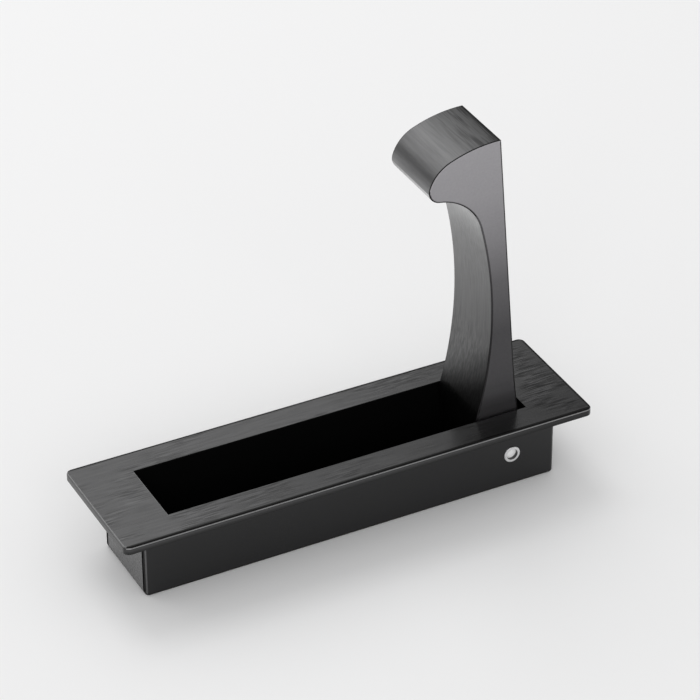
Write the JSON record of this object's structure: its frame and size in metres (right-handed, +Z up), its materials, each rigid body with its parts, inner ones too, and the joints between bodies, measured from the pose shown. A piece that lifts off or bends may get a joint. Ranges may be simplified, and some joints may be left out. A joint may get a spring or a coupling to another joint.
{
  "type": "recessed flip-up cabinet handle",
  "caption": "Flush cabinet handle: face plate and box let into a door, with a hooked lever that flips up out of the recess on a cross rivet to be pulled.",
  "frame": {"origin": "middle of the underside of the housing, which is the bottom of the box that is let into the door", "axes": "+Z up through the face plate, +X along the length towards the pivot end, +Y across the width towards the rivet head"},
  "size_m": [0.15, 0.0424, 0.117],
  "materials": {
    "housing_black": "satin black plating on cast zinc, face plate brushed along its length",
    "lever_black": "satin dark grey to black plating on cast zinc, brushed along the lever",
    "bright_rivet": "bright nickel-plated steel",
    "washer_grey": "plain dark acetal"
  },
  "bodies": {
    "housing_body": {"housing": "housing_black", "pivot_rivet": "bright_rivet", "washer_front": "washer_grey", "washer_rear": "washer_grey"},
    "lever_body": {"lever": "lever_black"}
  },
  "joints": [
    {"name": "lever_pivot", "type": "hinge", "parent": "housing_body", "child": "lever_body", "pos_m": [0.0519, 0, 0.0111], "axis": [0, 1, 0], "range_deg": [-79.8, 6.5]}
  ]
}
